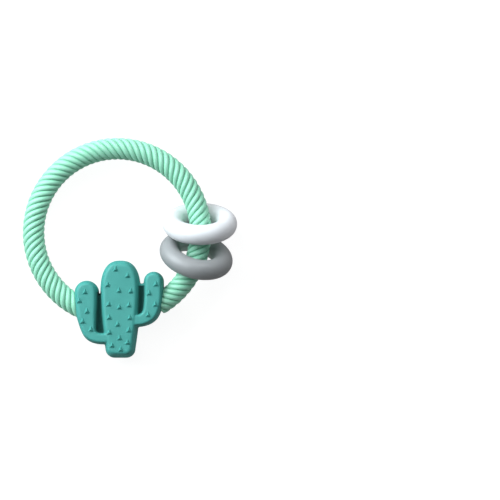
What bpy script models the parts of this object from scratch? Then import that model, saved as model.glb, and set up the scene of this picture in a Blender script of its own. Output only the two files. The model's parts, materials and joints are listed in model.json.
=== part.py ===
"""Teething ring: a twisted rope ring closed by a cactus figure, with two loose rings threaded on it.

The rope ring's plane is the design frame: its centre is the origin, +Y points away from the cactus and +Z
towards the cactus's front. The "resting" empty holds that frame in the pose in which the object lies on a
table: on the rope ring's left side, the cactus's back and the upper loose ring, which stands on edge.
"""

import math

import bmesh
import bpy
from mathutils import Matrix, Vector

MM = 0.001
GAP = 0.3 * MM  # between pieces that touch

# Rope ring: a twisted cord on a circle
ROPE_RING_RADIUS = 45.88 * MM
ROPE_RADIUS = 6.05 * MM
ROPE_GROOVE = 0.9 * MM
ROPE_RIDGES = 6
ROPE_TWIST = -360 / 27.2  # degrees that the section turns for each degree along the ring
ROPE_FIRST, ROPE_LAST = -60.0, 247.5  # ends of the ridged length, inside the cactus, degrees along the ring
ROPE_STATIONS = 84
NECK_RADIUS = 3.2 * MM
HEAD_RADIUS = 7.2 * MM
HEAD_RIGHT, HEAD_LEFT = -80.5, 264.5  # middles of the enlarged ends
HEAD_LENGTH = 3.2  # degrees along the ring
HEAD_CHAMFER = 1.0 * MM
SHOULDER = 1.0  # degrees along the ring from one thickness to the next
CHANNEL_RUNOUT = 20.0  # degrees that the cactus's channels are cut beyond the ends of the ridged length

# Loose rings: angle along the rope ring, radial and axial place of the centre, heading and lean of the axis
LOOSE_RADIUS = 14.9 * MM
LOOSE_THICKNESS = 5.5 * MM  # radius of the round section
LOOSE_RINGS = {
    "white_ring": {"along": 5.6, "radial": -0.1 * MM, "lift": 0.0, "heading": 88.5, "lean": 27.2},
    "grey_ring": {"along": -16.6, "radial": -0.5 * MM, "lift": 0.0, "heading": 73.4, "lean": 31.0},
}

# Cactus: half thicknesses, and how far the sides curve in from the seam to the front and the back: a
# distance on the trunk, and on the arms and webs a share of their own half width
TRUNK_DEPTH = 9.4 * MM
ARM_DEPTH = 9.0 * MM
WEB_DEPTH = 4.9 * MM
TRUNK_CURVE_IN = 3.2 * MM
ARM_NARROWING = 0.43
WEB_NARROWING = 0.2
SIDE_SQUARENESS = 2.5  # 2 would make the side a quarter of an ellipse, and more makes it fuller
TRUNK_X = 2.0 * MM
TRUNK_TOP, TRUNK_SHOULDER, TRUNK_BOTTOM = -15.7 * MM, -33.0 * MM, -69.0 * MM
TRUNK_HALF_WIDTH, TRUNK_FOOT_HALF_WIDTH = 11.0 * MM, 8.2 * MM
TRUNK_FOOT_RADIUS = 5.0 * MM
TRUNK_SQUARENESS = 2.5

# The arms and the webs behind the grooves, as strokes: (x, y, half width) in millimetres from foot to tip
LEFT_ARM = (
    (-3.0, -58.3, 3.2),
    (-10.0, -58.3, 3.2),
    (-14.3, -55.4, 4.1),
    (-15.9, -48.0, 5.6),
    (-16.4, -40.6, 6.5),
    (-16.5, -33.4, 6.7),
)
RIGHT_ARM = (
    (7.0, -48.5, 3.6),
    (13.6, -48.3, 3.6),
    (18.3, -44.9, 4.7),
    (20.1, -37.4, 5.5),
    (20.3, -27.3, 5.5),
)
LEFT_WEB = ((-9.9, -54.0, 3.6), (-9.7, -44.8, 3.6), (-9.5, -38.3, 3.5))
RIGHT_WEB = ((13.5, -45.0, 3.5), (13.6, -37.0, 3.5), (13.7, -31.6, 3.3))

# Spikes: small three-sided pyramids on the cactus's front, with a corner towards +Y
SPIKE_WIDTH, SPIKE_LENGTH, SPIKE_HEIGHT = 3.1 * MM, 3.4 * MM, 1.1 * MM
SPIKE_ROOT = 1.5 * MM  # depth that the spike's foot is sunk
SPIKE_AHEAD = 0.6  # share of the foot's length that is ahead of the tip

# The spikes' places on the front, in millimetres
TRUNK_SPIKES = ((-4.6, -29.2), (-4.0, -39.9), (-3.7, -47.1), (-3.5, -55.2), (-2.1, -62.4))
TRUNK_SPIKES += ((-0.2, -20.7), (1.7, -32.4), (1.9, -41.5), (0.9, -50.9), (2.0, -58.4), (2.7, -64.6))
TRUNK_SPIKES += ((6.4, -24.2), (8.1, -32.7), (7.1, -40.4), (7.6, -47.3), (7.1, -54.1), (6.4, -60.7))
ARM_SPIKES = ((-17.0, -33.1), (-20.1, -38.0), (-15.9, -43.7), (-18.2, -49.2), (-13.6, -53.6))
ARM_SPIKES += ((21.8, -28.9), (18.2, -33.8), (21.5, -40.0), (17.6, -45.7))

# Rattle: a capsule across the trunk's head, lying along Y, with beads in lanes on its floor
RATTLE_CENTRE = Vector((TRUNK_X, -29.6 * MM, 0))
RATTLE_RADIUS = 6.2 * MM
RATTLE_WALL = 0.9 * MM
RATTLE_LENGTH = 15.0 * MM
RATTLE_LID = 1.6 * MM
RATTLE_PLUG = 1.0 * MM
BEAD_RADIUS = 1.6 * MM
BEAD_LANE_STEP = 60.0  # degrees round the capsule from one lane to the next, the middle one lowest
BEADS = 3

# Resting pose: the slopes of the ring's plane along X and Y
SLOPE_X, SLOPE_Y = 0.1377, 0.0168

MINT = (0.34, 0.72, 0.54)
TEAL = (0.115, 0.415, 0.365)
WHITE = (0.82, 0.83, 0.85)
GREY = (0.41, 0.43, 0.44)
CAPSULE_WHITE = (0.75, 0.75, 0.72)
STEEL = (0.55, 0.55, 0.56)


def clear_scene():
    for obj in list(bpy.data.objects):
        bpy.data.objects.remove(obj, do_unlink=True)


def plastic(name, colour, roughness, metallic=0.0):
    material = bpy.data.materials.new(name)
    material.use_nodes = True
    shader = material.node_tree.nodes["Principled BSDF"]
    shader.inputs["Base Color"].default_value = (*colour, 1)
    shader.inputs["Roughness"].default_value = roughness
    shader.inputs["Metallic"].default_value = metallic
    material.diffuse_color = (*colour, 1)
    return material


def mesh_object(name, shape, material=None, parent=None, sharp_degrees=40.0):
    """An object made from a bmesh, smooth except at edges sharper than the angle."""
    bmesh.ops.recalc_face_normals(shape, faces=shape.faces)
    mesh = bpy.data.meshes.new(name)
    shape.to_mesh(mesh)
    shape.free()
    mesh.shade_smooth()
    mesh.set_sharp_from_angle(angle=math.radians(sharp_degrees))
    obj = bpy.data.objects.new(name, mesh)
    bpy.context.collection.objects.link(obj)
    obj.parent = parent
    if material:
        mesh.materials.append(material)
    return obj


def tool_object(name, shape, parent):
    """A helper solid for a Boolean: it is not part of the object."""
    obj = mesh_object(name, shape, parent=parent)
    obj.hide_render = True
    obj.display_type = "WIRE"
    return obj


def boolean(obj, operation, tool):
    modifier = obj.modifiers.new(f"{operation.lower()}_{tool.name}", "BOOLEAN")
    modifier.operation = operation
    modifier.object = tool


def skin(rings, closed=False):
    """A bmesh tube through rings of points, closed on itself or with flat ends."""
    shape = bmesh.new()
    rows = [[shape.verts.new(point) for point in ring] for ring in rings]
    pairs = list(zip(rows, rows[1:]))
    if closed:
        pairs.append((rows[-1], rows[0]))
    for row, following in pairs:
        for i, vertex in enumerate(row):
            j = (i + 1) % len(row)
            shape.faces.new((vertex, row[j], following[j], following[i]))
    if not closed:
        shape.faces.new(rows[0])
        shape.faces.new(rows[-1])
    return shape


def on_ring(degrees, outward, lift):
    """A point of the rope ring's tube: at an angle along the ring, moved outward and towards +Z."""
    angle = math.radians(degrees)
    reach = ROPE_RING_RADIUS + outward
    return Vector((reach * math.cos(angle), reach * math.sin(angle), lift))


def cord_section(degrees, radius, groove, turned):
    """The rope's section: rounded ridges with a narrow groove between each two."""
    profile = (1.0, 0.2, 0.0, 0.2)  # share of the groove's depth at the four points of each ridge
    count = ROPE_RIDGES * len(profile)
    points = []
    for i in range(count):
        angle = math.radians(turned + 360 * i / count)
        reach = radius - groove * profile[i % len(profile)]
        points.append(on_ring(degrees, reach * math.cos(angle), reach * math.sin(angle)))
    return points


def cord_stations(extra, groove):
    """(angle, radius, groove) along the rope from its right end to its left end, each widened by extra."""
    half_head = HEAD_LENGTH / 2
    head = [(-half_head, HEAD_RADIUS - HEAD_CHAMFER), (-half_head / 2, HEAD_RADIUS)]
    head.append((half_head, HEAD_RADIUS))
    right_end = [(HEAD_RIGHT + along, radius) for along, radius in head]
    right_end += [(HEAD_RIGHT + half_head + SHOULDER, NECK_RADIUS), (ROPE_FIRST - SHOULDER, NECK_RADIUS)]
    left_end = [(ROPE_LAST + SHOULDER, NECK_RADIUS), (HEAD_LEFT - half_head - SHOULDER, NECK_RADIUS)]
    left_end += [(HEAD_LEFT - along, radius) for along, radius in head[::-1]]
    step = (ROPE_LAST - ROPE_FIRST) / ROPE_STATIONS
    ridged = [(ROPE_FIRST + step * i, ROPE_RADIUS + extra, groove) for i in range(ROPE_STATIONS + 1)]
    ends = [[(angle, radius + extra, 0.0) for angle, radius in part] for part in (right_end, left_end)]
    return ends[0] + ridged + ends[1]


def make_rope_ring(parent, material):
    rings = []
    for degrees, radius, groove in cord_stations(0.0, ROPE_GROOVE):
        turned = ROPE_TWIST * (min(max(degrees, ROPE_FIRST), ROPE_LAST) - ROPE_FIRST)
        rings.append(cord_section(degrees, radius, groove, turned))
    return mesh_object("rope_ring", skin(rings), material, parent, sharp_degrees=80)


def channel_tools(parent):
    """The room for the rope's ends inside the cactus: plain round channels, a gap wider than the rope."""
    tools = []
    for name, wanted in (
        ("right_channel_tool", lambda angle: angle < ROPE_FIRST + CHANNEL_RUNOUT),
        ("left_channel_tool", lambda angle: angle > ROPE_LAST - CHANNEL_RUNOUT),
    ):
        stations = [(angle, radius) for angle, radius, _ in cord_stations(GAP, 0.0) if wanted(angle)]
        end_gap = math.degrees(GAP / ROPE_RING_RADIUS)
        middle = (HEAD_RIGHT + HEAD_LEFT) / 2
        rings = []
        for angle, radius in stations:
            beyond_head = not HEAD_RIGHT < angle < HEAD_LEFT
            moved = math.copysign(end_gap, angle - middle) if beyond_head else 0.0
            rings.append(cord_section(angle + moved, radius, 0.0, 0.0))
        tools.append(tool_object(name, skin(rings), parent))
    return tools


def make_loose_ring(name, pose, parent, material):
    """A closed round ring. Its parent empty is on the rope ring's axis, which it slides round."""
    pivot = bpy.data.objects.new(name + "_pivot", None)
    bpy.context.collection.objects.link(pivot)
    pivot.parent = parent
    segments, sides = 40, 14
    rings = []
    for i in range(segments):
        around = 2 * math.pi * i / segments
        outward = Vector((math.cos(around), math.sin(around), 0))
        ring = []
        for k in range(sides):
            angle = 2 * math.pi * k / sides
            reach = LOOSE_RADIUS + LOOSE_THICKNESS * math.cos(angle)
            ring.append(outward * reach + Vector((0, 0, LOOSE_THICKNESS * math.sin(angle))))
        rings.append(ring)
    obj = mesh_object(name, skin(rings, closed=True), material, pivot)
    heading, lean = math.radians(pose["heading"]), math.radians(pose["lean"])
    axis = Vector(
        (math.cos(heading) * math.cos(lean), math.sin(heading) * math.cos(lean), math.sin(lean))
    )
    obj.rotation_mode = "QUATERNION"
    obj.rotation_quaternion = Vector((0, 0, 1)).rotation_difference(axis)
    obj.location = on_ring(pose["along"], pose["radial"], pose["lift"])
    return obj


def curve_points(path, steps):
    """Points on a smooth curve (a Catmull-Rom spline) through the path's own points."""
    padded = [Vector(point) for point in (path[0], *path, path[-1])]
    out = []
    for a, b, c, d in zip(padded, padded[1:], padded[2:], padded[3:]):
        for i in range(steps):
            t = i / steps
            bend = 2 * a - 5 * b + 4 * c - d
            twist = 3 * b - a - 3 * c + d
            out.append((2 * b + (c - a) * t + bend * t**2 + twist * t**3) / 2)
    return out + [padded[-1]]


def stroke_outline(path, steps=5, cap_points=8):
    """The outline of a stroke along a path of (x, y, half width) in millimetres, round at both ends."""
    spine = curve_points(path, steps)
    left, right, headings = [], [], []
    for i, (x, y, half_width) in enumerate(spine):
        before, after = spine[max(i - 1, 0)], spine[min(i + 1, len(spine) - 1)]
        along = Vector((after[0] - before[0], after[1] - before[1])).normalized()
        side = Vector((-along.y, along.x)) * half_width
        left.append(Vector((x, y)) + side)
        right.append(Vector((x, y)) - side)
        headings.append(math.atan2(along.y, along.x))

    def cap(end, heading):
        x, y, half_width = end
        turns = [heading + math.pi * (k / cap_points - 0.5) for k in range(1, cap_points)]
        return [Vector((x, y)) + half_width * Vector((math.cos(turn), math.sin(turn))) for turn in turns]

    outline = right + cap(spine[-1], headings[-1]) + left[::-1] + cap(spine[0], headings[0] + math.pi)
    return [point * MM for point in outline]


def trunk_outline():
    """A superellipse top, bellied sides that narrow downwards and a flat foot with round corners."""
    steps, foot_steps, side_steps = 12, 5, 5
    half = []
    for i in range(foot_steps + 1):
        angle = math.pi / 2 * (i / foot_steps - 1)
        x = TRUNK_FOOT_HALF_WIDTH + TRUNK_FOOT_RADIUS * (math.cos(angle) - 1)
        half.append((x, TRUNK_BOTTOM + TRUNK_FOOT_RADIUS * (math.sin(angle) + 1)))
    foot_top = half[-1][1]
    for i in range(1, side_steps):
        share = i / side_steps
        bulge = (TRUNK_HALF_WIDTH - TRUNK_FOOT_HALF_WIDTH) * math.sin(math.pi / 2 * share)
        half.append((TRUNK_FOOT_HALF_WIDTH + bulge, foot_top + (TRUNK_SHOULDER - foot_top) * share))
    for i in range(steps + 1):
        angle = math.pi / 2 * i / steps
        across, up = (abs(f(angle)) ** (2 / TRUNK_SQUARENESS) for f in (math.cos, math.sin))
        half.append((TRUNK_HALF_WIDTH * across, TRUNK_SHOULDER + (TRUNK_TOP - TRUNK_SHOULDER) * up))
    mirrored = [(-x, y) for x, y in half[::-1] if x > 0.01 * MM]
    return [Vector((TRUNK_X + x, y)) for x, y in half + mirrored]


def inset(outline, distance):
    """The outline moved inward by a distance, point by point along its normals."""
    count = len(outline)
    moved = []
    for i, point in enumerate(outline):
        before, after = outline[i - 1], outline[(i + 1) % count]
        along = (after - before).normalized()
        moved.append(point + Vector((-along.y, along.x)) * distance)
    return moved


def narrowed(path, share):
    """The stroke with its half widths less by that share."""
    return [(x, y, half_width * (1 - share)) for x, y, half_width in path]


def pillow(outline_at, depth, steps=5):
    """A pillow from -depth to +depth: outline_at(0) at the seam, and outline_at(1) at the flat faces."""
    front = []
    for i in range(steps + 1):
        angle = math.pi / 2 * i / steps
        across, up = (abs(f(angle)) ** (2 / SIDE_SQUARENESS) for f in (math.cos, math.sin))
        front.append((1 - across, depth * up))
    layers = [(share, -z) for share, z in front[:0:-1]] + front
    return skin([[Vector((p.x, p.y, z)) for p in outline_at(share)] for share, z in layers])


def box(low, high):
    shape = bmesh.new()
    size = Vector(high) - Vector(low)
    middle = (Vector(high) + Vector(low)) / 2
    bmesh.ops.create_cube(shape, size=1, matrix=Matrix.Translation(middle) @ Matrix.Diagonal((*size, 1)))
    return shape


def cylinder_along_y(radius, low, high, centre, segments=28):
    turn = Matrix.Rotation(math.radians(90), 4, "X")
    middle = Vector((centre.x, centre.y + (low + high) / 2, centre.z))
    shape = bmesh.new()
    bmesh.ops.create_cone(
        shape,
        cap_ends=True,
        segments=segments,
        radius1=radius,
        radius2=radius,
        depth=high - low,
        matrix=Matrix.Translation(middle) @ turn,
    )
    return shape


def cactus_lobes(parent):
    """Tools for the whole cactus: two arms and the recessed webs that join them to the trunk."""
    lobes = []
    for name, path, depth, narrowing in (
        ("left_arm_tool", LEFT_ARM, ARM_DEPTH, ARM_NARROWING),
        ("right_arm_tool", RIGHT_ARM, ARM_DEPTH, ARM_NARROWING),
        ("left_web_tool", LEFT_WEB, WEB_DEPTH, WEB_NARROWING),
        ("right_web_tool", RIGHT_WEB, WEB_DEPTH, WEB_NARROWING),
    ):
        shape = pillow(lambda share: stroke_outline(narrowed(path, narrowing * share)), depth)
        lobes.append(tool_object(name, shape, parent))
    return lobes


def spikes_tool(parent):
    """All the front's spikes as one tool: rows down the trunk, and a few on each arm."""
    shape = bmesh.new()
    ahead = SPIKE_LENGTH * SPIKE_AHEAD
    for places, depth in ((TRUNK_SPIKES, TRUNK_DEPTH), (ARM_SPIKES, ARM_DEPTH)):
        for x, y in places:
            foot = Vector((x * MM, y * MM, depth))
            base = [
                (0, ahead, -SPIKE_ROOT),
                (-SPIKE_WIDTH / 2, ahead - SPIKE_LENGTH, -SPIKE_ROOT),
                (SPIKE_WIDTH / 2, ahead - SPIKE_LENGTH, -SPIKE_ROOT),
            ]
            corners = [shape.verts.new(foot + Vector(corner)) for corner in base]
            tip = shape.verts.new(foot + Vector((0, 0, SPIKE_HEIGHT)))
            shape.faces.new(corners[::-1])
            for i in range(3):
                shape.faces.new((corners[i], corners[(i + 1) % 3], tip))
    return tool_object("spikes_tool", shape, parent)


def make_cactus(parent, material):
    """Two half shells that meet at the seam, hollowed for the rope's ends and for the rattle."""
    lobes = cactus_lobes(parent)
    half = RATTLE_LENGTH / 2
    rattle_tool = tool_object(
        "rattle_pocket_tool",
        cylinder_along_y(RATTLE_RADIUS + GAP, -half - GAP, half + GAP, RATTLE_CENTRE),
        parent,
    )
    channels = channel_tools(parent)
    spikes = spikes_tool(parent)
    far = 2 * ROPE_RING_RADIUS
    for name, side in (("cactus_front", 1), ("cactus_back", -1)):
        trunk = pillow(lambda share: inset(trunk_outline(), TRUNK_CURVE_IN * share), TRUNK_DEPTH)
        obj = mesh_object(name, trunk, material, parent, 30)
        for lobe in lobes:
            boolean(obj, "UNION", lobe)
        if side > 0:
            boolean(obj, "UNION", spikes)
        seam = GAP / 2
        low, high = (-far, seam) if side > 0 else (-seam, far)
        seam_tool = tool_object(f"{name}_seam_tool", box((-far, -far, low), (far, far, high)), parent)
        boolean(obj, "DIFFERENCE", seam_tool)
        for tool in (*channels, rattle_tool):
            boolean(obj, "DIFFERENCE", tool)


def make_rattle(parent, shell, metal):
    """A cup with a lid let into its mouth, and beads that roll along it, at rest at the cup's lower end."""
    half = RATTLE_LENGTH / 2
    bore = RATTLE_RADIUS - RATTLE_WALL
    mouth = half - RATTLE_LID
    cup_body = cylinder_along_y(RATTLE_RADIUS, -half, mouth - GAP, RATTLE_CENTRE)
    cup = mesh_object("rattle_cup", cup_body, shell, parent)
    bore_tool = tool_object(
        "rattle_bore_tool", cylinder_along_y(bore, -half + RATTLE_WALL, half + GAP, RATTLE_CENTRE), parent
    )
    boolean(cup, "DIFFERENCE", bore_tool)
    lid = cylinder_along_y(RATTLE_RADIUS, mouth, half, RATTLE_CENTRE)
    cap = mesh_object("rattle_cap", lid, shell, parent)
    plug = tool_object(
        "rattle_plug_tool",
        cylinder_along_y(bore - GAP, mouth - RATTLE_PLUG, mouth + RATTLE_LID / 2, RATTLE_CENTRE),
        parent,
    )
    boolean(cap, "UNION", plug)
    lane_radius = bore - BEAD_RADIUS - GAP
    low_end = -half + RATTLE_WALL + BEAD_RADIUS + GAP
    for number in range(1, BEADS + 1):
        turn = math.radians(BEAD_LANE_STEP * (number - 2)) - math.atan(SLOPE_X)
        shape = bmesh.new()
        bmesh.ops.create_uvsphere(shape, u_segments=14, v_segments=8, radius=BEAD_RADIUS)
        bead = mesh_object(f"rattle_bead_{number}", shape, metal, parent)
        offset = Vector((lane_radius * math.sin(turn), low_end, -lane_radius * math.cos(turn)))
        bead.location = RATTLE_CENTRE + offset


def rest_on_table(resting):
    """Moves the resting empty so that the lowest point is at z = 0 and the middle is over the origin."""
    bpy.context.view_layer.update()
    graph = bpy.context.evaluated_depsgraph_get()
    points = []
    for obj in bpy.data.objects:
        if obj.type == "MESH" and not obj.hide_render:
            evaluated = obj.evaluated_get(graph)
            mesh = evaluated.to_mesh()
            points += [evaluated.matrix_world @ vertex.co for vertex in mesh.vertices]
            evaluated.to_mesh_clear()
    low = Vector([min(p[k] for p in points) for k in range(3)])
    high = Vector([max(p[k] for p in points) for k in range(3)])
    resting.location -= Vector(((low.x + high.x) / 2, (low.y + high.y) / 2, low.z))


def main():
    clear_scene()
    resting = bpy.data.objects.new("resting", None)
    bpy.context.collection.objects.link(resting)
    resting.rotation_mode = "QUATERNION"
    normal = Vector((-SLOPE_X, -SLOPE_Y, 1)).normalized()
    resting.rotation_quaternion = Vector((0, 0, 1)).rotation_difference(normal)

    make_rope_ring(resting, plastic("mint_silicone", MINT, 0.45))
    make_cactus(resting, plastic("teal_silicone", TEAL, 0.42))
    ring_materials = {
        "white_ring": plastic("white_silicone", WHITE, 0.45),
        "grey_ring": plastic("grey_silicone", GREY, 0.45),
    }
    for name, pose in LOOSE_RINGS.items():
        make_loose_ring(name, pose, resting, ring_materials[name])
    steel = plastic("bead_steel", STEEL, 0.3, metallic=1.0)
    make_rattle(resting, plastic("capsule_plastic", CAPSULE_WHITE, 0.4), steel)
    rest_on_table(resting)


main()
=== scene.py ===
"""The looks of the teething ring: silicone rope ring, cactus and loose rings, with floor, light and camera.

Every shape is made in millimetres in the ring's own frame: its origin is the rope ring's centre, with +Y
away from the cactus and +Z towards the cactus's front. The loose rings' joint gives that frame its place.
"""

import json
import math

import bmesh
import bpy
import numpy as np
from mathutils import Matrix, Vector
from mathutils.bvhtree import BVHTree


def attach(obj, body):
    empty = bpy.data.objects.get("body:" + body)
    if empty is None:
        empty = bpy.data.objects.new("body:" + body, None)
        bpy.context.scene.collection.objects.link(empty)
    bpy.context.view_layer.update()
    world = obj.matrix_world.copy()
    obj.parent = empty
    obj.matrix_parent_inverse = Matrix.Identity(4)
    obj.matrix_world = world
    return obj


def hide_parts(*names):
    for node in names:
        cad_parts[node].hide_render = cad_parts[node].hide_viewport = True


MM = 0.001
RING_JOINT = "grey_ring_along_rope"  # its axis is the rope ring's own

# Rope ring, as in the CAD but 0.05 mm thinner: millimetres, and degrees along the ring
RING_RADIUS = 45.88
ROPE_RADIUS = 6.0
ROPE_GROOVE = 0.95
RIDGES = 6
RIDGE_POINTS = 12
RIDGE_ROUNDNESS = 0.6  # less than 1 makes the ridges fuller and the grooves narrower
TWIST = -360 / 27.2  # degrees that the section turns for each degree along the ring
ROPE_FIRST, ROPE_LAST = -60.0, 247.5
STATION = 0.8  # degrees along the ring from one section to the next
NECK_RADIUS, HEAD_RADIUS = 3.2, 7.2
HEAD_RIGHT, HEAD_LEFT = -80.5, 264.5
HEAD_LENGTH, SHOULDER = 3.2, 1.0  # degrees along the ring
HEAD_CHAMFER = 1.0
CHAMFER_START = 0.8  # share of half the head's length from its middle
SNUG = 0.08  # room round the rope where it goes into the cactus
CHANNEL_RUNOUT = 20.0  # degrees

# Cactus, as in the CAD but with slightly rounder sides: half thicknesses, and how far the sides curve in
# from the seam to the faces: a distance on the trunk, and on the arms and webs a share of their half width
TRUNK_DEPTH, ARM_DEPTH, WEB_DEPTH = 9.4, 9.0, 4.9
TRUNK_CURVE_IN, ARM_NARROWING, WEB_NARROWING = 3.2, 0.43, 0.2
SIDE_SQUARENESS = 2.2  # 2 would make the side a quarter of an ellipse, and more makes it fuller
TRUNK_X, TRUNK_TOP, TRUNK_SHOULDER, TRUNK_BOTTOM = 2.0, -15.7, -33.0, -69.0
TRUNK_HALF_WIDTH, TRUNK_FOOT_HALF_WIDTH, TRUNK_FOOT_RADIUS = 11.0, 8.2, 5.0
TRUNK_SQUARENESS = 2.5
SEAM_GAP = 0.05
SEAM_REACH, SEAM_DENT = 0.4, 0.12  # the parting line: half its width, and its depth
VOXEL = 0.34
SOFTENING = 10  # smoothing steps, which round the inner corners

# The arms, and the webs behind the grooves: (x, y, half width) from foot to tip
LEFT_ARM = (
    (-3.0, -58.3, 3.2),
    (-10.0, -58.3, 3.2),
    (-14.3, -55.4, 4.1),
    (-15.9, -48.0, 5.6),
    (-16.4, -40.6, 6.5),
    (-16.5, -33.4, 6.7),
)
RIGHT_ARM = (
    (7.0, -48.5, 3.6),
    (13.6, -48.3, 3.6),
    (18.3, -44.9, 4.7),
    (20.1, -37.4, 5.5),
    (20.3, -27.3, 5.5),
)
LEFT_WEB = ((-9.9, -54.0, 3.6), (-9.7, -44.8, 3.6), (-9.5, -38.3, 3.5))
RIGHT_WEB = ((13.5, -45.0, 3.5), (13.6, -37.0, 3.5), (13.7, -31.6, 3.3))

# Where the material is darkened with painted shade and made more matt: boxes round the two grooves, as their
# low and high corners, and how far the grooves' rims lie below the arms' faces
GROOVE_BOXES = (((-13.6, -56.5), (-5.6, -33.0)), ((9.8, -46.5), (17.2, -29.5)))
GROOVE_RIM = 1.2

# Spikes: the size at the surface, and the places on the trunk and on the arms
SPIKE_WIDTH, SPIKE_LENGTH, SPIKE_HEIGHT = 3.1, 3.4, 1.1
SPIKE_AHEAD = 0.6  # share of the length that is ahead of the tip
SPIKE_LEVELS = ((-0.9, 1.1), (0.0, 1.05), (0.1, 0.94), (0.8, 0.4), (0.95, 0.27))  # shares of height and size
SPIKE_TIP = 0.06  # rise of the tip above the last level
SPIKE_CORNER = 0.09  # how blunt its corners are, as a share of the way to the middle
SPIKE_SIDE = (0.14, 0.5, 0.86)  # where each side has its points
TRUNK_SPIKES = ((-4.6, -29.2), (-4.0, -39.9), (-3.7, -47.1), (-3.5, -55.2), (-2.1, -62.4))
TRUNK_SPIKES += ((-0.2, -20.7), (1.7, -32.4), (1.9, -41.5), (0.9, -50.9), (2.0, -58.4), (2.7, -64.6))
TRUNK_SPIKES += ((6.4, -24.2), (8.1, -32.7), (7.1, -40.4), (7.6, -47.3), (7.1, -54.1), (6.4, -60.7))
ARM_SPIKES = ((-17.0, -33.1), (-20.1, -38.0), (-15.9, -43.7), (-18.2, -49.2), (-13.6, -53.6))
ARM_SPIKES += ((21.8, -28.9), (18.2, -33.8), (21.5, -40.0), (17.6, -45.7))

# Rattle pocket in the trunk
RATTLE_Y, RATTLE_RADIUS, RATTLE_LENGTH, RATTLE_ROOM = -29.6, 6.2, 15.0, 0.3

# Camera: nearly square to the rope ring, and framed as the photograph is, in metres
CAMERA_DISTANCE = 2.5
VIEW_FROM = (0.03, -0.05, 1.0)  # the way to the camera in the ring's frame
VIEW_WIDTH = 0.2745
AIM_RIGHT, AIM_UP = 0.0730, -0.00983  # from the ring's centre to the middle of the view

# Light: soft boxes as (name, place, size, watts, colour) in metres, and the room's own light
LIGHTS = (
    ("key", (-0.95, 0.60, 0.62), 1.1, 32, (0.88, 0.96, 1.0)),
    ("back", (0.4, 0.95, 0.9), 0.8, 7, (0.96, 0.98, 1.0)),
    ("overhead", (-0.28, 0.25, 1.2), 0.6, 3.9, (0.93, 0.97, 1.0)),
)
AMBIENT = 0.05
FLOOR_GREY, FLOOR_GLOW = 0.14, 0.93  # together they make the floor white and light the object from below


def ring_frame(joints):
    """The matrix from the ring's frame in millimetres to the row frame in metres."""
    joint = next(j for j in joints if j["name"] == RING_JOINT)
    turn = Vector((0, 0, 1)).rotation_difference(Vector(joint["axis"])).to_matrix().to_4x4()
    return Matrix.Translation(joint["pos_m"]) @ turn @ Matrix.Scale(MM, 4)


def to_mesh(name, shape):
    bmesh.ops.recalc_face_normals(shape, faces=shape.faces)
    mesh = bpy.data.meshes.new(name)
    shape.to_mesh(mesh)
    shape.free()
    return mesh


def add_object(name, mesh):
    obj = bpy.data.objects.new(name, mesh)
    bpy.context.scene.collection.objects.link(obj)
    return obj


def baked(obj):
    """The object's mesh with its modifiers applied. The object itself is removed."""
    bpy.context.view_layer.update()
    graph = bpy.context.evaluated_depsgraph_get()
    mesh = bpy.data.meshes.new_from_object(obj.evaluated_get(graph), depsgraph=graph)
    bpy.data.objects.remove(obj)
    return mesh


def skin(rings, closed=False):
    """A bmesh tube through rings of points, closed on itself or with flat ends."""
    shape = bmesh.new()
    rows = [[shape.verts.new(point) for point in ring] for ring in rings]
    pairs = list(zip(rows, rows[1:]))
    if closed:
        pairs.append((rows[-1], rows[0]))
    for row, following in pairs:
        for i, vertex in enumerate(row):
            j = (i + 1) % len(row)
            shape.faces.new((vertex, row[j], following[j], following[i]))
    if not closed:
        shape.faces.new(rows[0])
        shape.faces.new(rows[-1])
    return shape


# Rope ring


def rope_section(degrees, radius, groove, turned, count):
    """The rope's section at an angle along the ring: full round ridges with narrow grooves between them."""
    along = math.radians(degrees)
    points = []
    for i in range(count):
        rise = abs(math.sin(math.pi * RIDGES * i / count)) ** RIDGE_ROUNDNESS
        reach = radius - groove * (1 - rise)
        angle = math.radians(turned + 360 * i / count)
        outward = RING_RADIUS + reach * math.cos(angle)
        points.append((outward * math.cos(along), outward * math.sin(along), reach * math.sin(angle)))
    return points


def rope_stations(room):
    """(angle, radius, ridged) along the rope from its right end to its left end."""
    half_head = HEAD_LENGTH / 2
    head = [(-half_head, HEAD_RADIUS - HEAD_CHAMFER), (-half_head * CHAMFER_START, HEAD_RADIUS)]
    head.append((half_head, HEAD_RADIUS))
    right = [(HEAD_RIGHT + along, radius) for along, radius in head]
    right += [(HEAD_RIGHT + half_head + SHOULDER / 2, NECK_RADIUS), (ROPE_FIRST - SHOULDER, NECK_RADIUS)]
    left = [(ROPE_LAST + SHOULDER, NECK_RADIUS), (HEAD_LEFT - half_head - SHOULDER / 2, NECK_RADIUS)]
    left += [(HEAD_LEFT - along, radius) for along, radius in head[::-1]]
    steps = round((ROPE_LAST - ROPE_FIRST) / STATION)
    middle = [ROPE_FIRST + (ROPE_LAST - ROPE_FIRST) * i / steps for i in range(steps + 1)]
    stations = [(angle, radius + room, False) for angle, radius in right]
    stations += [(angle, ROPE_RADIUS + room, True) for angle in middle]
    return stations + [(angle, radius + room, False) for angle, radius in left]


def make_rope():
    count = RIDGES * RIDGE_POINTS
    rings = []
    for degrees, radius, ridged in rope_stations(0.0):
        turned = TWIST * (min(max(degrees, ROPE_FIRST), ROPE_LAST) - ROPE_FIRST)
        rings.append(rope_section(degrees, radius, ROPE_GROOVE if ridged else 0.0, turned, count))
    mesh = to_mesh("rope", skin(rings))
    # How far into the grooves each point lies, which sets the painted groove shade and extra roughness
    hollow = [1 - abs(math.sin(math.pi * i / RIDGE_POINTS)) ** RIDGE_ROUNDNESS for i in range(count)]
    add_recess(mesh, hollow * len(rings))
    return mesh


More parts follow.
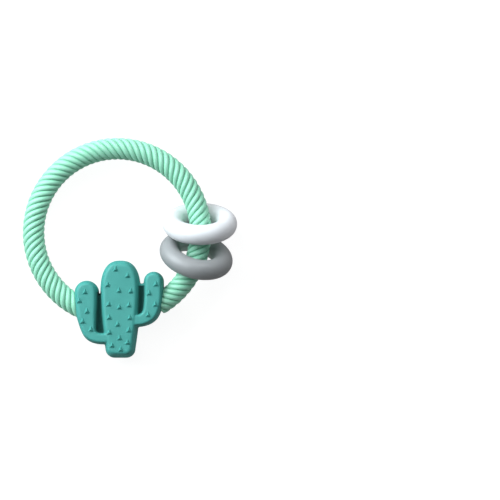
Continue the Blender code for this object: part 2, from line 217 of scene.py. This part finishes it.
def channel_tools():
    """The channels that the rope's ends lie in, inside the cactus."""
    tools = []
    for wanted in (
        lambda angle: angle < ROPE_FIRST + CHANNEL_RUNOUT,
        lambda angle: angle > ROPE_LAST - CHANNEL_RUNOUT,
    ):
        rings = [
            rope_section(angle, radius, 0.0, 0.0, 64)
            for angle, radius, _ in rope_stations(SNUG)
            if wanted(angle)
        ]
        tools.append(add_object("channel_tool", to_mesh("channel_tool", skin(rings))))
    return tools


def add_recess(mesh, values):
    """Stores how far into a groove each vertex lies, from 0 to 1, which sets the material's painted groove
    shade and extra roughness.
    """
    mesh.attributes.new("recess", "FLOAT", "POINT").data.foreach_set("value", np.array(values, np.float32))


# Cactus


def curve_points(path, steps):
    """Points on a smooth curve (a Catmull-Rom spline) through the path's own points."""
    padded = [Vector(point) for point in (path[0], *path, path[-1])]
    out = []
    for a, b, c, d in zip(padded, padded[1:], padded[2:], padded[3:]):
        for i in range(steps):
            t = i / steps
            bend = 2 * a - 5 * b + 4 * c - d
            twist = 3 * b - a - 3 * c + d
            out.append((2 * b + (c - a) * t + bend * t**2 + twist * t**3) / 2)
    return out + [padded[-1]]


def stroke_outline(path, steps=10, cap_points=20):
    """The outline of a stroke along a path of (x, y, half width), round at both ends."""
    spine = curve_points(path, steps)
    left, right, headings = [], [], []
    for i, (x, y, half_width) in enumerate(spine):
        before, after = spine[max(i - 1, 0)], spine[min(i + 1, len(spine) - 1)]
        along = Vector((after[0] - before[0], after[1] - before[1])).normalized()
        side = Vector((-along.y, along.x)) * half_width
        left.append(Vector((x, y)) + side)
        right.append(Vector((x, y)) - side)
        headings.append(math.atan2(along.y, along.x))

    def cap(end, heading):
        x, y, half_width = end
        turns = [heading + math.pi * (k / cap_points - 0.5) for k in range(1, cap_points)]
        return [Vector((x, y)) + half_width * Vector((math.cos(turn), math.sin(turn))) for turn in turns]

    return right + cap(spine[-1], headings[-1]) + left[::-1] + cap(spine[0], headings[0] + math.pi)


def trunk_outline(steps=24, foot_steps=10, side_steps=14):
    """A superellipse top, bellied sides that narrow downwards and a flat foot with round corners."""
    half = []
    for i in range(foot_steps + 1):
        angle = math.pi / 2 * (i / foot_steps - 1)
        x = TRUNK_FOOT_HALF_WIDTH + TRUNK_FOOT_RADIUS * (math.cos(angle) - 1)
        half.append((x, TRUNK_BOTTOM + TRUNK_FOOT_RADIUS * (math.sin(angle) + 1)))
    foot_top = half[-1][1]
    for i in range(1, side_steps):
        share = i / side_steps
        bulge = (TRUNK_HALF_WIDTH - TRUNK_FOOT_HALF_WIDTH) * math.sin(math.pi / 2 * share)
        half.append((TRUNK_FOOT_HALF_WIDTH + bulge, foot_top + (TRUNK_SHOULDER - foot_top) * share))
    for i in range(steps + 1):
        angle = math.pi / 2 * i / steps
        across, up = (abs(f(angle)) ** (2 / TRUNK_SQUARENESS) for f in (math.cos, math.sin))
        half.append((TRUNK_HALF_WIDTH * across, TRUNK_SHOULDER + (TRUNK_TOP - TRUNK_SHOULDER) * up))
    mirrored = [(-x, y) for x, y in half[::-1] if x > 0.01]
    return [Vector((TRUNK_X + x, y)) for x, y in half + mirrored]


def inset(outline, distance):
    """The outline moved inward by a distance, point by point along its normals."""
    moved = []
    for i, point in enumerate(outline):
        along = (outline[(i + 1) % len(outline)] - outline[i - 1]).normalized()
        moved.append(point + Vector((-along.y, along.x)) * distance)
    return moved


def narrowed(path, share):
    """The stroke with its half widths less by that share."""
    return [(x, y, half_width * (1 - share)) for x, y, half_width in path]


def pillow(outline_at, depth, steps=14):
    """A pillow from -depth to +depth: outline_at(0) at the seam, and outline_at(1) at the flat faces."""
    front = []
    for i in range(steps + 1):
        angle = math.pi / 2 * i / steps
        across, up = (abs(f(angle)) ** (2 / SIDE_SQUARENESS) for f in (math.cos, math.sin))
        front.append((1 - across, depth * up))
    layers = [(share, -z) for share, z in front[:0:-1]] + front
    return skin([[(p.x, p.y, z) for p in outline_at(share)] for share, z in layers])


def cactus_block():
    """Trunk, arms and webs in one skin with soft inner corners, dented along the seam."""
    whole = bmesh.new()
    trunk = pillow(lambda share: inset(trunk_outline(), TRUNK_CURVE_IN * share), TRUNK_DEPTH)
    whole.from_mesh(to_mesh("trunk", trunk))
    for path, depth, narrowing in (
        (LEFT_ARM, ARM_DEPTH, ARM_NARROWING),
        (RIGHT_ARM, ARM_DEPTH, ARM_NARROWING),
        (LEFT_WEB, WEB_DEPTH, WEB_NARROWING),
        (RIGHT_WEB, WEB_DEPTH, WEB_NARROWING),
    ):
        lobe = pillow(lambda share: stroke_outline(narrowed(path, narrowing * share)), depth)
        whole.from_mesh(to_mesh("lobe", lobe))
    obj = add_object("block", to_mesh("block", whole))
    remesh = obj.modifiers.new("remesh", "REMESH")
    remesh.mode, remesh.voxel_size = "VOXEL", VOXEL
    soften = obj.modifiers.new("soften", "SMOOTH")
    soften.factor, soften.iterations = 0.5, SOFTENING
    mesh = baked(obj)
    for vertex in mesh.vertices:
        near = 1 - abs(vertex.co.z) / SEAM_REACH
        if near > 0:
            vertex.co -= vertex.normal * SEAM_DENT * near
    return mesh


def soft_triangle(front, behind, half_width):
    """Points round a triangle with slightly blunt corners, one of them towards +Y."""
    corners = [Vector((0, front)), Vector((-half_width, -behind)), Vector((half_width, -behind))]
    middle = sum(corners, Vector((0, 0))) / 3
    points = []
    for i, corner in enumerate(corners):
        following = corners[(i + 1) % 3]
        points.append(corner.lerp(middle, SPIKE_CORNER))
        points += [corner.lerp(following, share) for share in SPIKE_SIDE]
    return points


def spikes(block):
    """Every spike as a closed solid with a flared foot, square to the block's front where it stands."""
    ahead = SPIKE_LENGTH * SPIKE_AHEAD
    section = soft_triangle(ahead, SPIKE_LENGTH - ahead, SPIKE_WIDTH / 2)
    front = BVHTree.FromPolygons([v.co for v in block.vertices], [p.vertices for p in block.polygons])
    whole = bmesh.new()
    for x, y in (*TRUNK_SPIKES, *ARM_SPIKES):
        foot, normal, _, _ = front.ray_cast(Vector((x, y, 2 * TRUNK_DEPTH)), Vector((0, 0, -1)))
        turn = Vector((0, 0, 1)).rotation_difference(normal)
        rings = [
            [foot + turn @ Vector((p.x * size, p.y * size, SPIKE_HEIGHT * up)) for p in section]
            for up, size in SPIKE_LEVELS
        ]
        shape = skin(rings)
        top = max(shape.faces, key=lambda face: face.calc_center_median().z)
        bmesh.ops.poke(shape, faces=[top], offset=SPIKE_TIP)
        whole.from_mesh(to_mesh("spike", shape))
    return whole


def box(low, high):
    shape = bmesh.new()
    size = Vector(high) - Vector(low)
    middle = (Vector(high) + Vector(low)) / 2
    bmesh.ops.create_cube(shape, size=1, matrix=Matrix.Translation(middle) @ Matrix.Diagonal((*size, 1)))
    return shape


def rattle_pocket():
    shape = bmesh.new()
    bmesh.ops.create_cone(
        shape,
        cap_ends=True,
        segments=64,
        radius1=RATTLE_RADIUS + RATTLE_ROOM,
        radius2=RATTLE_RADIUS + RATTLE_ROOM,
        depth=RATTLE_LENGTH + 2 * RATTLE_ROOM,
        matrix=Matrix.Translation((TRUNK_X, RATTLE_Y, 0)) @ Matrix.Rotation(math.pi / 2, 4, "X"),
    )
    return shape


def cut(obj, operation, tool):
    modifier = obj.modifiers.new(operation.lower(), "BOOLEAN")
    modifier.operation = operation
    modifier.object = tool


def cactus_recess(mesh):
    """How far into the grooves each vertex lies, from 0 at the rim to 1 on the web: the amount of painted
    groove shade and extra roughness.
    """
    rim = ARM_DEPTH - GROOVE_RIM
    values = []
    for vertex in mesh.vertices:
        x, y, z = vertex.co
        in_groove = any(low[0] < x < high[0] and low[1] < y < high[1] for low, high in GROOVE_BOXES)
        depth = (rim - abs(z)) / (rim - WEB_DEPTH)
        values.append(min(max(depth, 0.0), 1.0) if in_groove else 0.0)
    return values


def make_cactus():
    """The front and back halves, with room for the rope's ends and the rattle."""
    block = cactus_block()
    channels = channel_tools()
    pocket = add_object("pocket_tool", to_mesh("pocket_tool", rattle_pocket()))
    spike_tool = add_object("spike_tool", to_mesh("spike_tool", spikes(block)))
    far = 2 * RING_RADIUS
    halves = {}
    for name, side in (("front", 1), ("back", -1)):
        obj = add_object(name, block.copy())
        low, high = (-far, SEAM_GAP / 2) if side > 0 else (-SEAM_GAP / 2, far)
        seam = add_object("seam_tool", to_mesh("seam_tool", box((-far, -far, low), (far, far, high))))
        cut(obj, "DIFFERENCE", seam)
        for tool in (*channels, pocket):
            cut(obj, "DIFFERENCE", tool)
        if side > 0:
            cut(obj, "UNION", spike_tool)
        halves[name] = baked(obj)
        add_recess(halves[name], cactus_recess(halves[name]))
        bpy.data.objects.remove(seam)
    for tool in (*channels, pocket, spike_tool):
        bpy.data.objects.remove(tool)
    return halves


# Loose rings


def make_loose_ring(node, segments=192, sides=72):
    """A smooth round ring in the CAD ring's place: middle, axis and sizes come from that node's vertices."""
    points = np.array([vertex.co for vertex in node.data.vertices])
    middle = points.mean(axis=0)
    axis = np.linalg.svd(points - middle, full_matrices=False)[2][2]
    reach = np.linalg.norm(points - middle, axis=1)
    radius, thickness = (reach.max() + reach.min()) / 2, (reach.max() - reach.min()) / 2
    rings = []
    for i in range(segments):
        around = 2 * math.pi * i / segments
        outward = Vector((math.cos(around), math.sin(around), 0))
        ring = []
        for k in range(sides):
            angle = 2 * math.pi * k / sides
            point = outward * (radius + thickness * math.cos(angle))
            ring.append(point + Vector((0, 0, thickness * math.sin(angle))))
        rings.append(ring)
    mesh = to_mesh(node.name, skin(rings, closed=True))
    turn = Vector((0, 0, 1)).rotation_difference(Vector(axis)).to_matrix().to_4x4()
    mesh.transform(Matrix.Translation(middle) @ turn)
    return mesh


# Materials


def new_material(name):
    material = bpy.data.materials.new(name)
    material.use_nodes = True
    tree = material.node_tree
    return material, tree, tree.nodes["Principled BSDF"]


def noise(tree, feature, detail=2.0):
    """Noise in the piece's own coordinates, with features of about that size in metres."""
    place = tree.nodes.new("ShaderNodeTexCoord")
    texture = tree.nodes.new("ShaderNodeTexNoise")
    texture.inputs["Scale"].default_value = 1 / feature
    texture.inputs["Detail"].default_value = detail
    tree.links.new(place.outputs["Object"], texture.inputs["Vector"])
    return texture.outputs["Fac"]


def ramp(tree, value, low, high):
    """Maps the middle of a noise to the range from low to high."""
    node = tree.nodes.new("ShaderNodeMapRange")
    node.inputs["From Min"].default_value, node.inputs["From Max"].default_value = 0.3, 0.7
    node.inputs["To Min"].default_value, node.inputs["To Max"].default_value = low, high
    tree.links.new(value, node.inputs["Value"])
    return node.outputs["Result"]


def mix(tree, share, first, second):
    """A colour between two colours; each is a tuple or an output."""
    node = tree.nodes.new("ShaderNodeMix")
    node.data_type = "RGBA"
    sockets = {s.identifier: s for s in node.inputs}
    tree.links.new(share, sockets["Factor_Float"])
    for key, colour in (("A_Color", first), ("B_Color", second)):
        if isinstance(colour, tuple):
            sockets[key].default_value = (*colour, 1)
        else:
            tree.links.new(colour, sockets[key])
    return next(s for s in node.outputs if s.identifier == "Result_Color")


def silicone(name, colour, roughness, groove_shade=None, shine=0.9):
    """Satin moulded silicone: a faint mottle, a fine matt grain and, in grooves, painted shade (a darker
    colour) with a more matt finish.
    """
    material, tree, shader = new_material(name)
    pale = tuple(min(1.0, c * 1.06 + 0.004) for c in colour)
    base = mix(tree, ramp(tree, noise(tree, feature=0.009), 0.0, 1.0), colour, pale)
    matt = ramp(tree, noise(tree, feature=0.0012), roughness - 0.04, roughness + 0.04)
    # Painted shade: the groove mask mixes the colour towards a darker groove colour, and the roughness rises
    # there
    if groove_shade:
        attribute = tree.nodes.new("ShaderNodeAttribute")
        attribute.attribute_name = "recess"
        base = mix(tree, attribute.outputs["Fac"], base, groove_shade)
        rougher = tree.nodes.new("ShaderNodeMath")
        rougher.operation, rougher.use_clamp = "ADD", True
        tree.links.new(matt, rougher.inputs[0])
        tree.links.new(attribute.outputs["Fac"], rougher.inputs[1])
        matt = rougher.outputs[0]
    tree.links.new(base, shader.inputs["Base Color"])
    tree.links.new(matt, shader.inputs["Roughness"])
    bump = tree.nodes.new("ShaderNodeBump")
    bump.inputs["Strength"].default_value = 0.25
    bump.inputs["Distance"].default_value = 0.00004
    tree.links.new(noise(tree, feature=0.00035, detail=3.0), bump.inputs["Height"])
    tree.links.new(bump.outputs["Normal"], shader.inputs["Normal"])
    shader.inputs["Subsurface Weight"].default_value = 0.12
    shader.inputs["Subsurface Radius"].default_value = (1.0, 1.0, 1.0)
    shader.inputs["Subsurface Scale"].default_value = 0.0006
    shader.inputs["IOR"].default_value = 1.41
    shader.inputs["Specular IOR Level"].default_value = shine
    return material


def make_materials():
    # The second colour of each pair is painted shade for the grooves, not a colour of the silicone itself
    mint, mint_groove_shade = (0.295, 0.655, 0.475), (0.17, 0.49, 0.32)
    teal, teal_groove_shade = (0.045, 0.30, 0.265), (0.001, 0.05, 0.042)
    return {
        "mint": silicone("mint_silicone", mint, 0.45, mint_groove_shade),
        "teal": silicone("teal_silicone", teal, 0.55, teal_groove_shade, shine=0.6),
        "white": silicone("white_silicone", (0.69, 0.70, 0.72), 0.45),
        "grey": silicone("grey_silicone", (0.27, 0.28, 0.285), 0.45),
        "capsule": capsule_plastic(),
        "steel": steel(),
    }


def capsule_plastic():
    """Plain glossy moulded plastic for the rattle's capsule."""
    material, tree, shader = new_material("capsule_plastic")
    cloud = ramp(tree, noise(tree, feature=0.004), 0.0, 1.0)
    base = mix(tree, cloud, (0.72, 0.72, 0.69), (0.77, 0.77, 0.74))
    tree.links.new(base, shader.inputs["Base Color"])
    tree.links.new(ramp(tree, noise(tree, feature=0.001), 0.3, 0.4), shader.inputs["Roughness"])
    return material


def steel():
    """Tumbled steel for the rattle's beads."""
    material, tree, shader = new_material("bead_steel")
    cloud = ramp(tree, noise(tree, feature=0.0008), 0.0, 1.0)
    base = mix(tree, cloud, (0.5, 0.5, 0.51), (0.6, 0.6, 0.61))
    tree.links.new(base, shader.inputs["Base Color"])
    tree.links.new(ramp(tree, noise(tree, feature=0.0003), 0.24, 0.36), shader.inputs["Roughness"])
    shader.inputs["Metallic"].default_value = 1.0
    return material


def dress(obj, material, sharp_degrees=None):
    obj.data.materials.clear()
    obj.data.materials.append(material)
    if sharp_degrees is not None:
        obj.data.shade_smooth()
        obj.data.set_sharp_from_angle(angle=math.radians(sharp_degrees))


# Pieces


def add_piece(name, mesh, material, body, node, sharp_degrees):
    """A piece that stands for a CAD node and rides on that node's body."""
    obj = add_object(name, mesh)
    dress(obj, material, sharp_degrees)
    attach(obj, body)
    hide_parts(node)
    return obj


def make_pieces(frame, materials):
    place = ring_frame(frame["joints"])
    rope = make_rope()
    halves = make_cactus()
    for mesh in (rope, *halves.values()):
        mesh.transform(place)
    main = "ring_and_cactus"
    add_piece("rope_ring_silicone", rope, materials["mint"], main, "rope_ring", 75)
    for side, mesh in halves.items():
        node = "cactus_" + side
        add_piece(node + "_silicone", mesh, materials["teal"], main, node, 28)
    for colour, body in (("white", "white_loop"), ("grey", "grey_loop")):
        node = colour + "_ring"
        mesh = make_loose_ring(frame["nodes"][node])
        add_piece(node + "_silicone", mesh, materials[colour], body, node, 75)
    for name, node in frame["nodes"].items():
        if name.startswith("rattle_bead"):
            dress(node, materials["steel"])
        elif name.startswith("rattle"):
            dress(node, materials["capsule"])


# Surroundings


def make_floor(size=8.0, thickness=0.02):
    """A pale lit floor that the object lies on."""
    half = size / 2
    obj = add_object("floor", to_mesh("floor", box((-half, -half, -thickness), (half, half, 0.0))))
    material, _, shader = new_material("floor")
    shader.inputs["Base Color"].default_value = (FLOOR_GREY, FLOOR_GREY, FLOOR_GREY, 1)
    shader.inputs["Roughness"].default_value = 0.9
    shader.inputs["Specular IOR Level"].default_value = 0.0
    shader.inputs["Emission Color"].default_value = (1, 1, 1, 1)
    shader.inputs["Emission Strength"].default_value = FLOOR_GLOW
    obj.data.materials.append(material)
    obj.visible_glossy = False


def add_light(name, place, size, watts, colour):
    """A square soft box that points at the object."""
    data = bpy.data.lights.new(name, "AREA")
    data.size, data.energy, data.color = size, watts, colour
    obj = bpy.data.objects.new(name, data)
    bpy.context.scene.collection.objects.link(obj)
    obj.location = place
    obj.rotation_mode = "QUATERNION"
    obj.rotation_quaternion = (-Vector(place)).to_track_quat("-Z", "Y")
    obj.visible_camera = False


def make_light():
    world = bpy.data.worlds.new("studio")
    world.use_nodes = True
    tree = world.node_tree
    ambient = tree.nodes["Background"]
    ambient.inputs["Color"].default_value = (0.95, 0.97, 1.0, 1)
    ambient.inputs["Strength"].default_value = AMBIENT
    backdrop = tree.nodes.new("ShaderNodeBackground")
    backdrop.inputs["Color"].default_value = (1, 1, 1, 1)
    path = tree.nodes.new("ShaderNodeLightPath")
    either = tree.nodes.new("ShaderNodeMixShader")
    tree.links.new(path.outputs["Is Camera Ray"], either.inputs[0])
    tree.links.new(ambient.outputs["Background"], either.inputs[1])
    tree.links.new(backdrop.outputs["Background"], either.inputs[2])
    tree.links.new(either.outputs["Shader"], tree.nodes["World Output"].inputs["Surface"])
    bpy.context.scene.world = world
    for name, place, size, watts, colour in LIGHTS:
        add_light(name, place, size, watts, colour)
    bpy.context.scene.view_settings.view_transform = "Standard"


def make_camera(joints):
    """Nearly square to the rope ring, with the object left of the middle as in the photograph."""
    place = ring_frame(joints)
    turn = place.to_3x3().normalized()
    view = Vector(VIEW_FROM).normalized()
    sideways = Vector((view.z, 0, -view.x)).normalized()
    back, right = turn @ view, turn @ sideways
    up = back.cross(right)
    data = bpy.data.cameras.new("camera")
    data.lens = data.sensor_width * CAMERA_DISTANCE / VIEW_WIDTH
    obj = bpy.data.objects.new("camera", data)
    bpy.context.scene.collection.objects.link(obj)
    aim = place.translation + right * AIM_RIGHT + up * AIM_UP
    axes = Matrix((right, up, back)).transposed().to_4x4()
    obj.matrix_world = Matrix.Translation(aim + back * CAMERA_DISTANCE) @ axes
    bpy.context.scene.camera = obj


with open("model.json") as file:
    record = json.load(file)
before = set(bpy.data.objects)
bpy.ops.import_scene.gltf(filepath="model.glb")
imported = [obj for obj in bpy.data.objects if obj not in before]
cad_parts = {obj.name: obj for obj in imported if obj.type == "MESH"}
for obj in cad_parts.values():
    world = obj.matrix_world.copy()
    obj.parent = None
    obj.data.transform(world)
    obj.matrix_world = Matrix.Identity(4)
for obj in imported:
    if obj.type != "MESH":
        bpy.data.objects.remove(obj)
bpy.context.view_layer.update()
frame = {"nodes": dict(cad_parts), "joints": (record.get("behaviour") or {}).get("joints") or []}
make_camera(frame["joints"])
make_pieces(frame, make_materials())
make_floor()
make_light()
